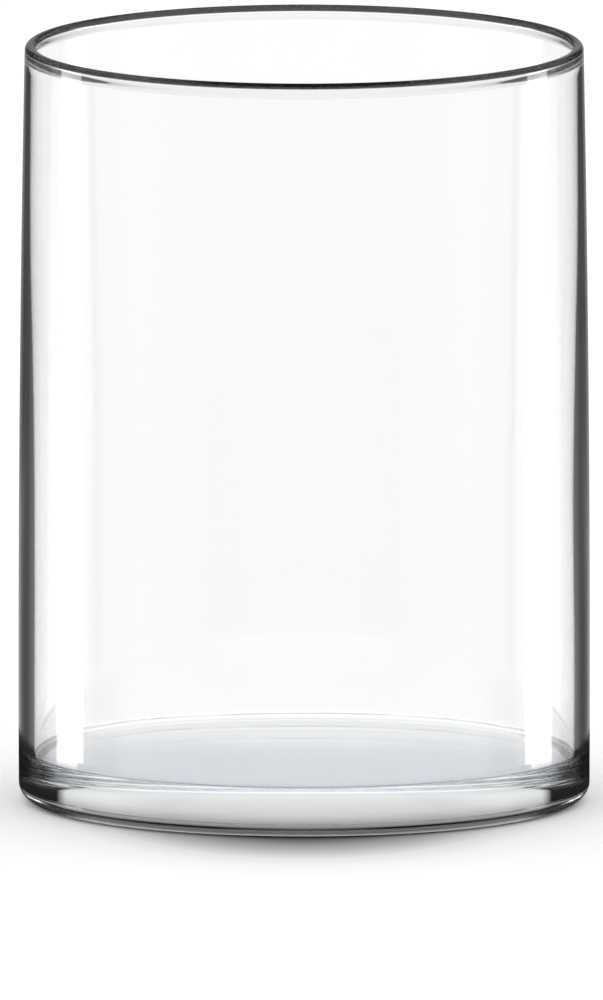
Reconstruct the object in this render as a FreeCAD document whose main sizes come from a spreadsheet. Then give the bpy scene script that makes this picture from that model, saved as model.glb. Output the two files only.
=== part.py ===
"""Glass cylinder vase, blown as one piece of clear glass with a thick flat base.

Frame: millimetres, +Z up, origin at the centre of the foot, where the vase stands on a table.
The outside is one long arc of revolution, widest low down, that draws in a little towards the
mouth. The inside is straight low down, then opens in a slow taper to a long arc that is widest
just under the mouth, so the wall is thin at the top and three times as thick low down. The rim
is a round fire-polished bead, flush with the outside and proud of the inside.
"""

import FreeCAD, Part
import os

import Sketcher

# Driving dimensions: alias, value in millimetres, what it measures.
DIMENSIONS = [
    ("overall_height", 203.0, "foot to the top of the rim"),
    ("belly_radius", 76.2, "widest outer radius"),
    ("belly_height", 39.0, "height of the widest outer radius"),
    ("rim_radius", 74.55, "outer radius at the rim"),
    ("bead_radius", 1.5, "radius of the fire-polished bead that ends the wall"),
    ("bead_flat", 0.05, "width of the level ring left at the very top of the bead"),
    ("lip_height", 4.5, "height over which the wall thickens into the bead"),
    ("shaft_radius", 72.0, "inner radius of the straight stretch above the floor"),
    ("shaft_height", 68.0, "height where that stretch ends and the taper starts"),
    ("bore_radius", 73.22, "widest inner radius"),
    ("bore_height", 190.0, "height of the widest inner radius"),
    ("bore_arc_radius", 4800.0, "radius of the inside wall's upper curve"),
    ("floor_height", 12.8, "height of the inside floor above the foot"),
    ("corner_round", 1.2, "radius between the inside floor and the wall"),
    ("heel_round", 4.5, "radius between the foot and the outer wall"),
    ("punt_radius", 58.0, "radius of the shallow hollow under the foot"),
    ("punt_rise", 0.15, "height of that hollow at its centre"),
]

SHEET = "Dimensions"
NODE = "vase_body"
MOUTH_OVERCUT = 5.0  # the cavity's profile runs this far above the rim, to cut the mouth open
LIP_MEETS_BEAD = (0.55, 0.85)  # a first guess, in and down from the bead's centre, in bead radii
FULL_TURN = 360.0

# How a sketch's constraints name its own axes, and the two ends and the centre of an edge.
ORIGIN = (-1, 1)
UPRIGHT_AXIS = -2
START, END, CENTRE = 1, 2, 3


def make_sheet(doc):
    """The spreadsheet that every sketch and fillet reads."""
    sheet = doc.addObject("Spreadsheet::Sheet", SHEET)
    for row, (alias, value, note) in enumerate(DIMENSIONS, start=1):
        sheet.set(f"A{row}", alias)
        sheet.set(f"B{row}", str(value))
        sheet.setAlias(f"B{row}", alias)
        sheet.set(f"C{row}", note)
    doc.recompute()
    return sheet


def cell(alias):
    """The name of a spreadsheet cell, as expressions write it."""
    return f"<<{SHEET}>>.{alias}"


def arc_height(radius, half_chord):
    """How far an arc of this radius bows out from a chord of twice this half length."""
    return radius - (radius**2 - half_chord**2) ** 0.5


class HalfSection:
    """A closed half section on the XZ plane: lines and arcs that follow each other from the axis.

    Each edge is kept as its number and the names of its first and last end. A sketch names an
    arc's ends counter-clockwise, so they swap where the outline follows the arc clockwise.
    """

    def __init__(self, body, name):
        self.sketch = body.newObject("Sketcher::SketchObject", name)
        plane = next(f for f in body.Origin.OriginFeatures if f.Role == "XZ_Plane")
        self.sketch.AttachmentSupport = (plane, [""])
        self.sketch.MapMode = "FlatFace"
        self.edges = []

    def edge(self, shape, join, first=START, last=END):
        """Adds an edge and joins it to the end of the one before. Returns its number."""
        number = self.sketch.addGeometry(shape, False)
        if self.edges:
            before, _, its_end = self.edges[-1]
            self.relate(join, before, its_end, number, first)
        self.edges.append((number, first, last))
        return number

    def line(self, start, end):
        ends = [FreeCAD.Vector(*point, 0) for point in (start, end)]
        return self.edge(Part.LineSegment(*ends), "Coincident")

    def arc(self, start, middle, end, join="Coincident"):
        points = [FreeCAD.Vector(*point, 0) for point in (start, middle, end)]
        chord, bow = points[2] - points[0], points[1] - points[0]
        ends = (END, START) if chord.cross(bow).z > 0 else (START, END)
        return self.edge(Part.Arc(*points), join, *ends)

    def close(self):
        """Joins the last edge to the first, and makes it upright, because it is the axis."""
        self.relate("Coincident", self.edges[-1][0], END, self.edges[0][0], START)
        self.relate("Vertical", self.edges[-1][0])

    def relate(self, kind, *where):
        self.sketch.addConstraint(Sketcher.Constraint(kind, *where))

    def size(self, kind, *where, to):
        """Adds a dimension and ties it to an expression over the spreadsheet."""
        value = float(self.sketch.evalExpression(to))
        index = self.sketch.addConstraint(Sketcher.Constraint(kind, *where, value))
        name = f"size_{index}"
        self.sketch.renameConstraint(index, name)
        self.sketch.setExpression(f"Constraints.{name}", to)

    def upright_arc(self, arc, radius, reach, height):
        """Places an arc of this radius, so that it is upright and widest, at `reach`, at that height."""
        self.size("Radius", arc, to=radius)
        self.size("DistanceX", arc, CENTRE, *ORIGIN, to=f"{radius} - {reach}")
        self.size("DistanceY", *ORIGIN, arc, CENTRE, to=height)


def outer_section(body, d):
    """The solid outside: a flat foot, the long outer curve and a flat top."""
    section = HalfSection(body, "outer_section")
    rise = f"({cell('overall_height')} - {cell('belly_height')})"
    inset = f"({cell('belly_radius')} - {cell('rim_radius')})"
    radius = f"(({rise} ^ 2 + {inset} ^ 2) / (2 * {inset}))"
    top = d["overall_height"]
    heel = (d["belly_radius"], 0)
    belly = (d["belly_radius"], d["belly_height"])
    rim = (d["rim_radius"], top)

    foot = section.line((0, 0), heel)
    wall = section.arc(heel, belly, rim)
    mouth = section.line(rim, (0, top))
    section.line((0, top), (0, 0))
    section.close()

    section.relate("Coincident", foot, START, *ORIGIN)
    section.relate("Horizontal", foot)
    section.relate("Horizontal", mouth)
    section.upright_arc(wall, radius, cell("belly_radius"), cell("belly_height"))
    section.size("DistanceY", *ORIGIN, mouth, START, to=cell("overall_height"))
    return section.sketch


def cavity_section(body, d):
    """The hollow: the inside floor, a straight stretch, a taper, the upper arc, the lip and the bead."""
    section = HalfSection(body, "cavity_section")
    top, floor = d["overall_height"], d["floor_height"]
    above = top + MOUTH_OVERCUT
    bead_centre = (d["rim_radius"] - d["bead_radius"], top - d["bead_radius"])

    def upper_wall(height):
        return (d["bore_radius"] - arc_height(d["bore_arc_radius"], height - d["bore_height"]), height)

    corner = (d["shaft_radius"], floor)
    shaft_end = (d["shaft_radius"], d["shaft_height"])
    taper_end = upper_wall((d["shaft_height"] + d["bore_height"]) / 2)
    lip_start = upper_wall(top - d["lip_height"])
    reach_in, reach_down = (share * d["bead_radius"] for share in LIP_MEETS_BEAD)
    lip_end = (bead_centre[0] - reach_in, bead_centre[1] - reach_down)
    lip_middle = ((3 * lip_start[0] + lip_end[0]) / 4, (lip_start[1] + lip_end[1]) / 2)
    narrowest = (bead_centre[0] - d["bead_radius"], bead_centre[1])
    crown = (bead_centre[0], top)

    base = section.line((0, floor), corner)
    shaft = section.line(corner, shaft_end)
    section.line(shaft_end, taper_end)
    upper = section.arc(taper_end, upper_wall(d["bore_height"]), lip_start, join="Tangent")
    section.arc(lip_start, lip_middle, lip_end, join="Tangent")
    bead = section.arc(lip_end, narrowest, crown, join="Tangent")
    way_out = section.line(crown, (crown[0], above))
    lid = section.line((crown[0], above), (0, above))
    axis = section.line((0, above), (0, floor))
    section.close()

    section.relate("Horizontal", base)
    section.relate("Horizontal", lid)
    section.relate("Vertical", shaft)
    section.relate("Vertical", way_out)
    section.relate("PointOnObject", axis, START, UPRIGHT_AXIS)
    section.size("DistanceY", *ORIGIN, base, START, to=cell("floor_height"))
    section.size("DistanceX", *ORIGIN, base, END, to=cell("shaft_radius"))
    section.size("DistanceY", *ORIGIN, shaft, END, to=cell("shaft_height"))
    section.upright_arc(upper, cell("bore_arc_radius"), cell("bore_radius"), cell("bore_height"))
    section.size("DistanceY", *ORIGIN, upper, END, to=f"{cell('overall_height')} - {cell('lip_height')}")
    section.size("Radius", bead, to=cell("bead_radius"))
    section.size("DistanceX", *ORIGIN, bead, CENTRE, to=f"{cell('rim_radius')} - {cell('bead_radius')}")
    section.size("DistanceY", *ORIGIN, bead, CENTRE, to=f"{cell('overall_height')} - {cell('bead_radius')}")
    section.relate("Vertical", bead, CENTRE, way_out, START)
    section.size("DistanceY", way_out, START, way_out, END, to=str(MOUTH_OVERCUT))
    return section.sketch


def punt_section(body, d):
    """The shallow dome under the foot, so that the vase stands on a ring."""
    section = HalfSection(body, "punt_section")
    rise, reach = cell("punt_rise"), cell("punt_radius")
    radius = f"({reach} ^ 2 + {rise} ^ 2) / (2 * {rise})"
    sphere = float(body.evalExpression(radius))
    half_way = d["punt_radius"] / 2
    edge = (d["punt_radius"], 0)
    crown = (0, d["punt_rise"])

    base = section.line((0, 0), edge)
    dome = section.arc(edge, (half_way, d["punt_rise"] - arc_height(sphere, half_way)), crown)
    section.line(crown, (0, 0))
    section.close()

    section.relate("Coincident", base, START, *ORIGIN)
    section.relate("Horizontal", base)
    section.size("DistanceX", *ORIGIN, base, END, to=reach)
    section.size("Radius", dome, to=radius)
    section.size("DistanceY", *ORIGIN, dome, END, to=rise)
    return section.sketch


def turn(body, kind, name, sketch):
    """A Revolution or Groove of a half section, all the way round the vertical axis."""
    before = body.Tip.Shape.Volume if body.Tip else 0
    feature = body.newObject(f"PartDesign::{kind}", name)
    feature.Profile = sketch
    feature.ReferenceAxis = (sketch, ["V_Axis"])
    feature.Angle = FULL_TURN
    sketch.Visibility = False
    body.Document.recompute()
    if kind == "Groove" and feature.Shape.Volume >= before:
        raise RuntimeError(f"{name} cut nothing")


def edge_at(shape, radius, height):
    """The name of the circular edge round the axis at this radius and height."""
    def miss(edge):
        point = edge.valueAt(edge.FirstParameter)
        return abs(point.z - height) + abs((point.x**2 + point.y**2) ** 0.5 - radius)

    curved = [i for i, e in enumerate(shape.Edges, start=1) if not e.Degenerated]
    rings = [i for i in curved if isinstance(shape.Edges[i - 1].Curve, Part.Circle)]
    return f"Edge{min(rings, key=lambda i: miss(shape.Edges[i - 1]))}"


def round_edge(body, name, radius, height, size):
    """A fillet on one ring edge, with its radius from an expression over the spreadsheet."""
    tip = body.Tip
    fillet = body.newObject("PartDesign::Fillet", name)
    fillet.Base = (tip, [edge_at(tip.Shape, radius, height)])
    fillet.setExpression("Radius", size)
    body.Document.recompute()


def make_vase(doc, d):
    """The one piece of glass."""
    body = doc.addObject("PartDesign::Body", NODE)
    body.Label = NODE
    turn(body, "Revolution", "outside", outer_section(body, d))
    turn(body, "Groove", "cavity", cavity_section(body, d))
    turn(body, "Groove", "punt", punt_section(body, d))
    round_edge(body, "heel", d["belly_radius"], 0, cell("heel_round"))
    round_edge(body, "inside_corner", d["shaft_radius"], d["floor_height"], cell("corner_round"))
    bead_outside = f"{cell('bead_radius')} - {cell('bead_flat')}"
    round_edge(body, "bead_outside", d["rim_radius"], d["overall_height"], bead_outside)
    return body


def check(doc, parts):
    """Stops the build on any failed feature or bad solid."""
    for item in doc.Objects:
        if {"Invalid", "Error"} & set(item.State):
            raise RuntimeError(f"{item.Name} failed: {item.State}")
    for part in parts:
        if part.Shape.isNull() or not part.Shape.isValid() or not part.Shape.Solids:
            raise RuntimeError(f"{part.Label} has no valid solid")


def main():
    doc = FreeCAD.newDocument("glass_cylinder_vase")
    sheet = make_sheet(doc)
    sizes = {alias: float(sheet.get(alias)) for alias, _, _ in DIMENSIONS}
    parts = [make_vase(doc, sizes)]
    doc.recompute()
    check(doc, parts)

    os.makedirs("parts", exist_ok=True)
    for part in parts:
        part.Shape.exportStep(os.path.join("parts", f"{part.Label}.step"))
        box = part.Shape.optimalBoundingBox()
        size = f"{box.XLength:.2f} x {box.YLength:.2f} x {box.ZLength:.2f} mm"
        print(f"{part.Label}: {size}, {part.Shape.Volume:.0f} mm3")


main()
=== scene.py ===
import math

import bpy
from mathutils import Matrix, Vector, noise


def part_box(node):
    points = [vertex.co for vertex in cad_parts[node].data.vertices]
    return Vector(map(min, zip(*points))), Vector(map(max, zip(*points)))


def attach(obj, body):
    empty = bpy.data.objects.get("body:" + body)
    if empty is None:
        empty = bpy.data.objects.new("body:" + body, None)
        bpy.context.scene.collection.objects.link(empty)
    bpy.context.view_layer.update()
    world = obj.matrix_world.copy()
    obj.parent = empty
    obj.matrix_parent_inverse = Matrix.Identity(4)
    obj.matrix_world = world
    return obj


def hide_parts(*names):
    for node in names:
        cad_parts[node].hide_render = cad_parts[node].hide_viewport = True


# A clear-glass cylinder vase on a pale floor. Lengths are in metres, in the CAD model's frame: +Z up, and the
# origin at the centre of the foot. The camera looks along +Y, so "front" is -Y and "behind" is +Y.
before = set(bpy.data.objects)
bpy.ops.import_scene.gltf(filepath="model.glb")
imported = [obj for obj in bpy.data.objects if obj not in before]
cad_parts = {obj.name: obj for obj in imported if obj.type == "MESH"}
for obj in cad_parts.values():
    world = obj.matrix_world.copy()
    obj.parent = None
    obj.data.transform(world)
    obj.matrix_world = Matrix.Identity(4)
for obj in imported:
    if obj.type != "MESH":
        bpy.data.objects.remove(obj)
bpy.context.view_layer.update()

# ---------------------------------------------------------------- the vase's dimensions
_, top_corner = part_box("vase_body")
HEIGHT = top_corner.z
BELLY_RADIUS = top_corner.x
BELLY_HEIGHT = 0.0390  # where the outside is widest
RIM_RADIUS = 0.07455
BEAD_RADIUS = 0.0015  # the fire-polished bead that ends the wall
FLOOR_HEIGHT = 0.0128
CORNER_ROUND = 0.0012  # between the inside floor and the wall
HEEL_ROUND = 0.0045  # between the foot and the outer wall
PUNT_RADIUS = 0.0580  # the shallow hollow under the foot
PUNT_RISE = 0.00015

# The inside wall: height, inner radius.
INSIDE_WALL = [
    (0.0140, 0.07200),
    (0.0400, 0.07200),
    (0.0600, 0.07202),
    (0.0800, 0.07210),
    (0.1000, 0.07232),
    (0.1200, 0.07264),
    (0.1400, 0.07296),
    (0.1600, 0.07314),
    (0.1800, 0.07321),
    (0.1985, 0.07322),
]

# Blown glass: the inside wall drifts a little in thickness.
DRIFT = 0.00012
DRIFT_WAVES_ROUND = 1.6
DRIFT_WAVE_HEIGHT = 0.060
DRIFT_ENDS_BELOW_RIM = 0.004
DRIFT_FADES_UNDER_RIM = 0.03
DRIFT_FADES_OVER_FLOOR = 0.02

# The edges are painted dark: a painted dark reflection that stands for dark surroundings, which tight curves
# of clear glass gather. The bead is painted dark between these angles, from straight outwards towards up.
# The heel's front is painted shade: height, and the share of light that passes.
BEAD_PAINTED_DARK_FROM, BEAD_PAINTED_DARK_TO = 6, 184
HEEL_PAINTED_SHADE = [(0.0, 0.08), (0.0012, 0.11), (0.0022, 0.18), (0.0033, 0.36), (0.0044, 0.52), (0.0055, 0.70),
              (0.0066, 0.82), (0.0080, 0.90), (0.0100, 0.95), (0.0125, 1.0)]
HEEL_PAINTED_SHADE_FADE = 0.6  # how much of a radius, front to back, it takes to fade out

# How finely the vase is meshed: round it, and along each stretch of its section.
SEGMENTS = 280
PUNT_STEPS = 24
FOOT_STEPS = 6
ARC_STEPS = 28
CORNER_STEPS = 14
OUTSIDE_STEPS = 90
LIP_STEPS = 16
INSIDE_STEPS = 110
FLOOR_STEPS = 26
TINY = 1e-5


# ---------------------------------------------------------------- the vase's half section
def outer_radius(z):
    """The long outer arc, upright at the belly and through the rim."""
    rise, inset = HEIGHT - BELLY_HEIGHT, BELLY_RADIUS - RIM_RADIUS
    radius = (rise**2 + inset**2) / (2 * inset)
    return BELLY_RADIUS - radius + math.sqrt(radius**2 - (z - BELLY_HEIGHT) ** 2)


BEAD_Z = HEIGHT - BEAD_RADIUS
BEAD_X = outer_radius(BEAD_Z) - BEAD_RADIUS
HEEL_X = outer_radius(HEEL_ROUND) - HEEL_ROUND


def hermite(t, start, end, start_slope, end_slope):
    """A cubic from start to end as t goes from 0 to 1."""
    t2, t3 = t**2, t**3
    value = (2 * t3 - 3 * t2 + 1) * start + (t3 - 2 * t2 + t) * start_slope
    return value + (3 * t2 - 2 * t3) * end + (t3 - t2) * end_slope


def wall_slope(k):
    """The slope of the inside wall at row k of its table."""
    z0, r0 = INSIDE_WALL[max(k - 1, 0)]
    z1, r1 = INSIDE_WALL[min(k + 1, len(INSIDE_WALL) - 1)]
    return (r1 - r0) / (z1 - z0)


def inner_radius(z):
    """A smooth curve through the inside wall's table."""
    k = max(k for k, row in enumerate(INSIDE_WALL[:-1]) if row[0] <= z + TINY)
    (z0, r0), (z1, r1) = INSIDE_WALL[k], INSIDE_WALL[k + 1]
    h = z1 - z0
    return hermite((z - z0) / h, r0, r1, wall_slope(k) * h, wall_slope(k + 1) * h)


def arc(cx, cz, radius, start, end, steps):
    """Points on an arc in the half section, angles in degrees from outwards, towards up."""
    angles = [math.radians(a) for a in spread(start, end, steps)]
    return [(cx + radius * math.cos(a), cz + radius * math.sin(a)) for a in angles]


def spread(a, b, steps):
    """Even steps from a to b, both included."""
    return [a + (b - a) * k / steps for k in range(steps + 1)]


def lip():
    """The inside wall thickens into the bead and is upright where it meets it. From the bead down."""
    z0, r0 = INSIDE_WALL[-1]
    h = BEAD_Z - z0
    slope = wall_slope(len(INSIDE_WALL) - 1) * h
    inner_side = BEAD_X - BEAD_RADIUS
    steps = reversed(spread(0.0, 1.0, LIP_STEPS)[1:-1])
    return [(hermite(t, r0, inner_side, slope, 0.0), z0 + h * t) for t in steps]


def half_section():
    """From the axis under the foot, out, up the outside, over the rim, down the inside, to the axis."""
    sphere = (PUNT_RADIUS**2 + PUNT_RISE**2) / (2 * PUNT_RISE)
    hollow = spread(0.0, PUNT_RADIUS, PUNT_STEPS)[1:]
    pts = [(r, PUNT_RISE - sphere + math.sqrt(sphere**2 - r**2)) for r in hollow]
    pts += [(r, 0.0) for r in spread(PUNT_RADIUS, HEEL_X, FOOT_STEPS)[1:-1]]
    pts += arc(HEEL_X, HEEL_ROUND, HEEL_ROUND, -90, 0, ARC_STEPS)
    pts += [(outer_radius(z), z) for z in spread(HEEL_ROUND, BEAD_Z, OUTSIDE_STEPS)[1:-1]]
    pts += arc(BEAD_X, BEAD_Z, BEAD_RADIUS, 0, 180, ARC_STEPS)
    pts += lip()
    wall_bottom, wall_top = INSIDE_WALL[0][0], INSIDE_WALL[-1][0]
    pts += [(inner_radius(z), z) for z in spread(wall_top, wall_bottom, INSIDE_STEPS)]
    corner_x = INSIDE_WALL[0][1] - CORNER_ROUND
    pts += arc(corner_x, FLOOR_HEIGHT + CORNER_ROUND, CORNER_ROUND, 0, -90, CORNER_STEPS)[1:]
    pts += [(r, FLOOR_HEIGHT) for r in spread(corner_x, 0.0, FLOOR_STEPS)[1:-1]]
    return pts


# ---------------------------------------------------------------- the vase's mesh
def drift(ca, sa, z):
    """How far the inside wall stands off its true radius, in the direction (ca, sa)."""
    under_rim = min(1.0, max(0.0, (HEIGHT - DRIFT_ENDS_BELOW_RIM - z) / DRIFT_FADES_UNDER_RIM))
    over_floor = min(1.0, (z - FLOOR_HEIGHT) / DRIFT_FADES_OVER_FLOOR)
    place = Vector((ca * DRIFT_WAVES_ROUND, sa * DRIFT_WAVES_ROUND, z / DRIFT_WAVE_HEIGHT))
    return DRIFT * under_rim * over_floor * noise.noise(place)


def read_off(table, x):
    """A value read off a table of pairs, in straight lines."""
    for (x0, v0), (x1, v1) in zip(table, table[1:]):
        if x <= x1:
            return v0 + (v1 - v0) * (x - x0) / (x1 - x0)
    return table[-1][1]


def painted_dark_at(x, y, z):
    """How dark the surface is painted at a point (painted dark reflection and shade): 0 is clear, 1 is fully
    dark.
    """
    r = math.hypot(x, y)
    # The bead's upper side: painted dark reflection.
    if z > BEAD_Z - BEAD_RADIUS / 2:
        angle = math.degrees(math.atan2(z - BEAD_Z, r - BEAD_X)) % 360
        return 1.0 if BEAD_PAINTED_DARK_FROM < angle < BEAD_PAINTED_DARK_TO else 0.0
    # The heel's front: painted shade, darkest at the bottom.
    if z < HEEL_PAINTED_SHADE[-1][0] and r > HEEL_X + TINY:
        front = min(1.0, max(0.0, 0.5 - y / r / HEEL_PAINTED_SHADE_FADE))
        passed = 1.0 - front * (1.0 - read_off(HEEL_PAINTED_SHADE, z))
        return (1.0 - passed**2) / (1.0 - PAINTED_DARK_COLOR[1])
    return 0.0


def make_vase():
    pts = half_section()
    n = len(pts)
    crown = max(range(n), key=lambda k: pts[k][1])
    verts, faces = [], []
    for s in range(SEGMENTS):
        a = 2 * math.pi * s / SEGMENTS
        ca, sa = math.cos(a), math.sin(a)
        for k, (r, z) in enumerate(pts):
            if k > crown and z > FLOOR_HEIGHT + TINY:
                r += drift(ca, sa, z)
            verts.append((r * ca, r * sa, z))
    for s in range(SEGMENTS):
        t = (s + 1) % SEGMENTS
        faces += [(s * n + k, t * n + k, t * n + k + 1, s * n + k + 1) for k in range(n - 1)]
    # The centres of the foot and of the inside floor, each in its fan of triangles.
    foot_centre = len(verts)
    floor_centre = foot_centre + 1
    verts += [(0.0, 0.0, PUNT_RISE), (0.0, 0.0, FLOOR_HEIGHT)]
    for s in range(SEGMENTS):
        t = (s + 1) % SEGMENTS
        faces.append((foot_centre, t * n, s * n))
        faces.append((floor_centre, s * n + n - 1, t * n + n - 1))
    mesh = bpy.data.meshes.new("vase")
    mesh.from_pydata(verts, [], faces)
    painted_dark_share = mesh.attributes.new("painted_dark_share", "FLOAT", "POINT")
    painted_dark_share.data.foreach_set("value", [painted_dark_at(*v) for v in verts])
    mesh.validate()
    mesh.polygons.foreach_set("use_smooth", [True] * len(mesh.polygons))
    mesh.update()
    return add_object("vase", mesh)


def add_object(name, data):
    made = bpy.data.objects.new(name, data)
    bpy.context.scene.collection.objects.link(made)
    return made


# ---------------------------------------------------------------- shader nodes
def math_node(tree, operation, a, b=None):
    """The result of one sum; a and b are numbers or sockets."""
    n = tree.nodes.new("ShaderNodeMath")
    n.operation = operation
    for socket, value in zip(n.inputs, (a, b)):
        if isinstance(value, (int, float)):
            socket.default_value = value
        elif value is not None:
            tree.links.new(value, socket)
    return n.outputs[0]


def product(tree, first, *others):
    for other in others:
        first = math_node(tree, "MULTIPLY", first, other)
    return first


def above(tree, value, limit):
    return math_node(tree, "GREATER_THAN", value, limit)


def below(tree, value, limit):
    return math_node(tree, "LESS_THAN", value, limit)


def length(tree, x, y):
    return math_node(tree, "SQRT", math_node(tree, "ADD", product(tree, x, x), product(tree, y, y)))


def step(tree, value, start, end, first=0.0, last=1.0):
    """Eases from first to last as the value goes from start to end."""
    n = tree.nodes.new("ShaderNodeMapRange")
    n.interpolation_type = "SMOOTHSTEP"
    for name, number in (("From Min", start), ("From Max", end), ("To Min", first), ("To Max", last)):
        n.inputs[name].default_value = number
    tree.links.new(value, n.inputs["Value"])
    return n.outputs[0]


def ramp(tree, value, stops, span, gain=1.0):
    """A level read off stops of (value, level), with values from 0 to span and levels from 0 to gain."""
    n = tree.nodes.new("ShaderNodeValToRGB")
    elements = n.color_ramp.elements
    elements.remove(elements[-1])
    for k, (place, level) in enumerate(stops):
        element = elements[0] if k == 0 else elements.new(place / span)
        element.position = place / span
        element.color = (level / gain,) * 3 + (1,)
    tree.links.new(math_node(tree, "DIVIDE", value, span), n.inputs[0])
    return math_node(tree, "MULTIPLY", n.outputs[0], gain)


def blend_shader(tree, factor, a, b):
    n = tree.nodes.new("ShaderNodeMixShader")
    for socket, value in zip(n.inputs, (factor, a, b)):
        tree.links.new(value, socket)
    return n.outputs[0]


def glow(tree, color, strength=1.0):
    n = tree.nodes.new("ShaderNodeEmission")
    n.inputs["Color"].default_value = (*color, 1)
    n.inputs["Strength"].default_value = strength
    return n.outputs[0]


def seen_in_glass(tree, path):
    """1 for rays that glass has bent or mirrored before anything matt was met, and 0 for all others."""
    by_glass = math_node(tree, "MAXIMUM", path.outputs["Is Glossy Ray"], path.outputs["Is Transmission Ray"])
    return product(tree, by_glass, below(tree, path.outputs["Diffuse Depth"], 0.5))


# ---------------------------------------------------------------- the glass
CLEAR = (0.990, 0.993, 0.995, 1)
# The colour of the painted dark reflection and shade at the glass's edges.
PAINTED_DARK_COLOR = (0.006, 0.0065, 0.007, 1)
PAINTED_DARK_DEPTH = 3.5  # a ray that has met more surfaces than this passes the painted dark as clear glass


def glass_material():
    """Clear glass with a faint grey body, painted dark where the mesh says so: painted dark reflection and
    shade.
    """
    mat = bpy.data.materials.new("clear_glass_blown")
    mat.use_nodes = True
    tree = mat.node_tree
    bsdf = tree.nodes["Principled BSDF"]
    bsdf.inputs["Base Color"].default_value = CLEAR
    bsdf.inputs["Roughness"].default_value = 0.0
    bsdf.inputs["IOR"].default_value = 1.5
    bsdf.inputs["Transmission Weight"].default_value = 1.0
    painted_dark_share = tree.nodes.new("ShaderNodeAttribute")
    painted_dark_share.attribute_name = "painted_dark_share"
    path = tree.nodes.new("ShaderNodeLightPath")
    fresh = below(tree, path.outputs["Ray Depth"], PAINTED_DARK_DEPTH)
    # Where the mesh says so, the base colour is painted dark: painted dark reflection and shade.
    shade = tree.nodes.new("ShaderNodeMix")
    shade.data_type = "RGBA"
    tree.links.new(product(tree, painted_dark_share.outputs["Fac"], fresh), shade.inputs["Factor"])
    shade.inputs["A"].default_value = CLEAR
    shade.inputs["B"].default_value = PAINTED_DARK_COLOR
    tree.links.new(shade.outputs["Result"], bsdf.inputs["Base Color"])
    absorb = tree.nodes.new("ShaderNodeVolumeAbsorption")
    absorb.inputs["Color"].default_value = (0.84, 0.86, 0.87, 1)
    absorb.inputs["Density"].default_value = 4.0
    tree.links.new(absorb.outputs[0], tree.nodes["Material Output"].inputs["Volume"])
    return mat


# ---------------------------------------------------------------- the floor
FLOOR_SIZE = 7.0
FLOOR_DROP = 0.0002  # keeps the floor clear of the foot
FLOOR_SIDES = 96

# The painted contact shadow, in the floor's colour: distance from its centre, share of light left. It lies
# ahead of the foot and is narrower from side to side.
SHADOW = [(0.0, 0.10), (0.045, 0.10), (0.052, 0.15), (0.063, 0.36), (0.074, 0.54), (0.089, 0.84),
          (0.104, 0.96), (0.125, 1.0), (0.2, 1.0)]
SHADOW_REACH = 0.2
SHADOW_AHEAD = 0.024
SHADOW_NARROWER = 1.6

# Painted light, seen through the glass only: glows under the foot, from front to back, with a bowed and cloudy
# line between.
FRONT_TINT, FRONT_GLOW = (0.76, 0.84, 1.0), 0.56
BACK_TINT, BACK_GLOW = (0.92, 0.955, 1.0), 0.70
BACK_STARTS, BACK_FULL = 0.012, 0.038
BOW = 3.0
CLOUD_SIZE = 0.05
CLOUDS_PER_METRE = (11.0, 60.0, 1.0)
# Then outwards, a painted light ring, painted dark at either side, and painted shade close beside the vase.
WHITE = (1.0, 1.0, 1.0)
DARK_GLOW = 0.02
FOOT_EDGE = (0.0705, 0.0695)
RING_EDGE = (0.0760, 0.0740)
RING_DARK_BESIDE = (0.056, 0.066)
FLOOR_DARK_BESIDE = (0.070, 0.080)
FLOOR_DARK_WITHIN = (0.165, 0.145)
ONE_SURFACE_PAIR = 2.5  # light that crossed fewer surfaces went in and out of the glass once


# The floor as the glass sees it: painted light under the foot and in a ring, painted shade beside the vase.
def floor_seen_in_glass(tree, where, x, y, path):
    side = math_node(tree, "ABSOLUTE", x)
    r = length(tree, x, y)
    stretched = tree.nodes.new("ShaderNodeVectorMath")
    stretched.operation = "MULTIPLY"
    stretched.inputs[1].default_value = CLOUDS_PER_METRE
    tree.links.new(where, stretched.inputs[0])
    clouds = tree.nodes.new("ShaderNodeTexNoise")
    clouds.inputs["Scale"].default_value = 1.0
    tree.links.new(stretched.outputs[0], clouds.inputs["Vector"])
    cloudy = product(tree, math_node(tree, "SUBTRACT", clouds.outputs[0], 0.5), CLOUD_SIZE)
    bowed = math_node(tree, "ADD", math_node(tree, "ADD", y, cloudy), product(tree, x, x, BOW))
    under = blend_shader(tree, step(tree, bowed, BACK_STARTS, BACK_FULL),
                         glow(tree, FRONT_TINT, FRONT_GLOW), glow(tree, BACK_TINT, BACK_GLOW))
    dark = glow(tree, WHITE, DARK_GLOW)
    ring = blend_shader(tree, step(tree, side, *RING_DARK_BESIDE), glow(tree, WHITE), dark)
    beside = product(tree, step(tree, side, *FLOOR_DARK_BESIDE), step(tree, r, *FLOOR_DARK_WITHIN),
                     below(tree, path.outputs["Transmission Depth"], ONE_SURFACE_PAIR))
    clear = tree.nodes.new("ShaderNodeBsdfTransparent").outputs[0]
    seen = blend_shader(tree, beside, clear, dark)
    seen = blend_shader(tree, step(tree, r, *RING_EDGE), seen, ring)
    return blend_shader(tree, step(tree, r, *FOOT_EDGE), seen, under)


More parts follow.
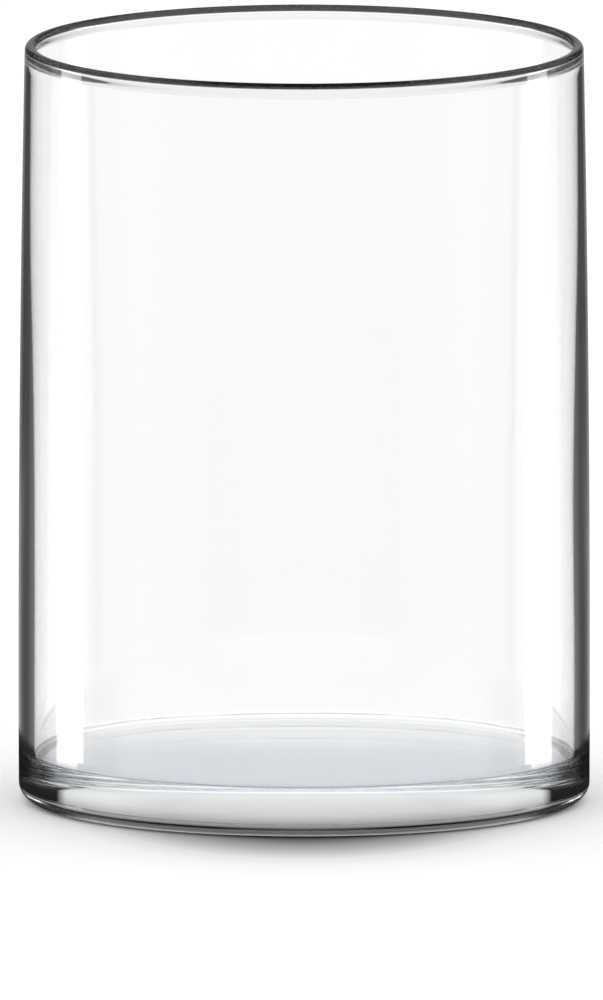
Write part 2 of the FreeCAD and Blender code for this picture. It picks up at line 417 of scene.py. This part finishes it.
def floor_material():
    """White and matt, with a soft shadow painted into its colour ahead of the thick base. In the glass, only
    what is near the foot shows, as painted glows, and beyond that the studio shows instead."""
    mat = bpy.data.materials.new("pale_floor")
    mat.use_nodes = True
    tree = mat.node_tree
    tree.nodes.clear()
    where = tree.nodes.new("ShaderNodeNewGeometry").outputs["Position"]
    split = tree.nodes.new("ShaderNodeSeparateXYZ")
    tree.links.new(where, split.inputs[0])
    x, y = split.outputs[0], split.outputs[1]
    path = tree.nodes.new("ShaderNodeLightPath")

    matt = tree.nodes.new("ShaderNodeBsdfDiffuse")
    # The painted contact shadow darkens the floor's colour.
    from_centre = length(tree, product(tree, x, SHADOW_NARROWER), math_node(tree, "ADD", y, SHADOW_AHEAD))
    tree.links.new(ramp(tree, from_centre, SHADOW, SHADOW_REACH), matt.inputs["Color"])

    seen = floor_seen_in_glass(tree, where, x, y, path)
    out = tree.nodes.new("ShaderNodeOutputMaterial")
    tree.links.new(blend_shader(tree, seen_in_glass(tree, path), matt.outputs[0], seen), out.inputs[0])
    return mat


def make_floor():
    angles = [2 * math.pi * k / FLOOR_SIDES for k in range(FLOOR_SIDES)]
    edge = [(FLOOR_SIZE * math.cos(a), FLOOR_SIZE * math.sin(a), -FLOOR_DROP) for a in angles]
    mesh = bpy.data.meshes.new("floor")
    mesh.from_pydata(edge, [], [tuple(range(FLOOR_SIDES))])
    mesh.materials.append(floor_material())
    return add_object("floor", mesh)


# ---------------------------------------------------------------- the studio's light
HALF_TURN = 180
OPEN_SKY = 1.10  # what lights the floor and fills the background
STRIP = 8.0  # the two tall, narrow lights, and the brightest level of all
CARD = 0.03  # the black cards


def carded(front, side, card=CARD):
    """A row this bright behind the vase and to its sides, with a black card at either flank."""
    return [(0, front), (20, front), (32, side), (46, side), (50, card), (88, card), (96, 1.0), (180, 1.0)]


# Each table goes from straight behind the vase, 0, to the camera's side, 180, in degrees to either side.
# Radiance, below and above the horizon:
WALL = [(0, 1.32), (6, 1.3), (9, 1.32), (14, 1.65), (20, 2.2), (34, 2.6), (44, 2.2), (57, 1.26), (59, 1.26),
        (61, STRIP), (74, STRIP), (75, 1.3), (180, 1.3)]
HORIZON = [(0, 1.3), (180, 1.3)]
HIGH = [(0, 1.6), (180, 1.6)]
CARDED = carded(1.15, 1.4)
ROWS = [(-90, HIGH), (-45, HIGH), (-28, WALL), (-4, WALL), (-2, HORIZON), (3, HORIZON), (5, CARDED),
        (8.3, CARDED), (11, carded(1.2, 1.35)), (18, carded(1.2, 1.2)), (24, carded(1.1, 1.1, 0.5)),
        (40, HIGH), (90, HIGH)]

# The share of that light which is held back, so that the edges of the glass are drawn dark. HELD_INSIDE is for
# light that only runs inside the wall, HELD_BEYOND for light that crosses the vase, HELD_MIRRORED for what the
# outside mirrors, and HELD_IN_BASE for light that turns twice or more inside the thick base.
HELD_INSIDE = [(0, 0.60), (6, 0.70), (12, 0.97), (22, 0.975), (31, 0.90), (36, 0.94), (55, 0.96), (57, 0.0),
               (79, 0.0), (81, 0.5), (150, 0.6), (180, 0.6)]
HELD_BEYOND = [(0, 0.0), (57, 0.0), (58, 0.85), (79, 0.85), (80, 0.3), (105, 0.3), (140, 0.6), (180, 0.6)]
HELD_MIRRORED = [(0, 0.60), (8, 0.66), (17, 0.94), (50, 0.94), (57, 0.0), (76, 0.0), (80, 0.4), (110, 0.4),
                 (150, 0.5), (180, 0.5)]
HELD_IN_BASE = [(0, 0.0), (38, 0.0), (48, 0.96), (180, 0.96)]
# Where each of these counts, in degrees above the horizon.
FALLING = (1.0, -2.0)
BASE_LIGHT_FALLING = (26.0, 18.0)
STEEP = (14.0, 26.0)
STEEP_HELD = 0.96


def studio_radiance(tree, turn, rise):
    """The rows of light, blended from each height to the next."""
    value = ramp(tree, turn, ROWS[0][1], HALF_TURN, STRIP)
    for (h0, stops0), (h1, stops1) in zip(ROWS, ROWS[1:]):
        if stops0 is stops1:
            continue
        share = tree.nodes.new("ShaderNodeMapRange")
        share.inputs["From Min"].default_value = h0
        share.inputs["From Max"].default_value = h1
        tree.links.new(rise, share.inputs["Value"])
        mixer = tree.nodes.new("ShaderNodeMix")
        mixer.data_type = "FLOAT"
        tree.links.new(share.outputs[0], mixer.inputs["Factor"])
        tree.links.new(value, mixer.inputs["A"])
        tree.links.new(ramp(tree, turn, stops1, HALF_TURN, STRIP), mixer.inputs["B"])
        value = mixer.outputs[0]
    return value


def share_kept(tree, turn, rise, path):
    """How much of the studio's light reaches a ray, by the way that the ray took through the glass."""
    crossed, mirrored = path.outputs["Transmission Depth"], path.outputs["Glossy Depth"]
    outside_only = below(tree, crossed, 0.5)
    wall_only = product(tree, above(tree, crossed, 1.5), below(tree, crossed, ONE_SURFACE_PAIR))
    beyond = above(tree, crossed, ONE_SURFACE_PAIR)
    falling = step(tree, rise, *FALLING)

    in_wall = product(tree, wall_only, ramp(tree, turn, HELD_INSIDE, HALF_TURN), falling)
    in_base = product(tree, wall_only, ramp(tree, turn, HELD_IN_BASE, HALF_TURN),
                      above(tree, mirrored, 1.5), step(tree, rise, *BASE_LIGHT_FALLING))
    across = product(tree, beyond, ramp(tree, turn, HELD_BEYOND, HALF_TURN), falling)
    steep = step(tree, math_node(tree, "ABSOLUTE", rise), *STEEP, 0.0, STEEP_HELD)
    by_side = ramp(tree, turn, HELD_MIRRORED, HALF_TURN)
    outside = product(tree, math_node(tree, "MAXIMUM", by_side, steep), outside_only)

    held = math_node(tree, "MAXIMUM", in_wall, in_base)
    held = math_node(tree, "ADD", math_node(tree, "ADD", held, across), outside)
    return math_node(tree, "SUBTRACT", 1.0, product(tree, held, above(tree, mirrored, 0.5)))


def make_world():
    """Plain soft light for the floor, and for the glass a studio with strip lights and black cards."""
    world = bpy.data.worlds.new("studio")
    bpy.context.scene.world = world
    world.use_nodes = True
    tree = world.node_tree
    tree.nodes.clear()
    direction = tree.nodes.new("ShaderNodeSeparateXYZ")
    tree.links.new(tree.nodes.new("ShaderNodeTexCoord").outputs["Generated"], direction.inputs[0])
    x, y, z = direction.outputs
    degrees = 180 / math.pi
    turn = product(tree, math_node(tree, "ARCTAN2", math_node(tree, "ABSOLUTE", x), y), degrees)
    rise = product(tree, math_node(tree, "ARCSINE", z), degrees)
    path = tree.nodes.new("ShaderNodeLightPath")

    studio = tree.nodes.new("ShaderNodeBackground")
    radiance = product(tree, studio_radiance(tree, turn, rise), share_kept(tree, turn, rise, path))
    tree.links.new(radiance, studio.inputs["Strength"])
    sky = tree.nodes.new("ShaderNodeBackground")
    sky.inputs["Color"].default_value = (*WHITE, 1)
    sky.inputs["Strength"].default_value = OPEN_SKY
    out = tree.nodes.new("ShaderNodeOutputWorld")
    mixed = blend_shader(tree, seen_in_glass(tree, path), sky.outputs[0], studio.outputs[0])
    tree.links.new(mixed, out.inputs[0])


# ---------------------------------------------------------------- the camera
ELEVATION = math.radians(8.3)
AIM = Vector((-0.00072, 0.0, 0.0801))  # the vase stands a little right of the middle
DISTANCE = 1.0
FRAME_HEIGHT = 0.2667


def make_camera():
    data = bpy.data.cameras.new("camera")
    data.type = "ORTHO"
    data.ortho_scale = FRAME_HEIGHT
    data.clip_start = 0.01
    data.clip_end = 40.0
    camera = add_object("camera", data)
    camera.location = AIM + Vector((0, -math.cos(ELEVATION), math.sin(ELEVATION))) * DISTANCE
    camera.rotation_euler = (math.pi / 2 - ELEVATION, 0, 0)
    bpy.context.scene.camera = camera


# ---------------------------------------------------------------- build
vase = make_vase()
glass = glass_material()
vase.data.materials.append(glass)
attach(vase, "root")
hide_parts("vase_body")
cad_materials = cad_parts["vase_body"].data.materials
cad_materials.clear()
cad_materials.append(glass)

make_floor()
make_world()
make_camera()

# Light runs far inside the wall before it leaves, so it may bounce more often than usual.
bpy.context.scene.cycles.max_bounces = 64
bpy.context.scene.cycles.glossy_bounces = 48
bpy.context.scene.cycles.transmission_bounces = 48
bpy.context.scene.view_settings.view_transform = "Standard"
bpy.context.scene.view_settings.look = "None"
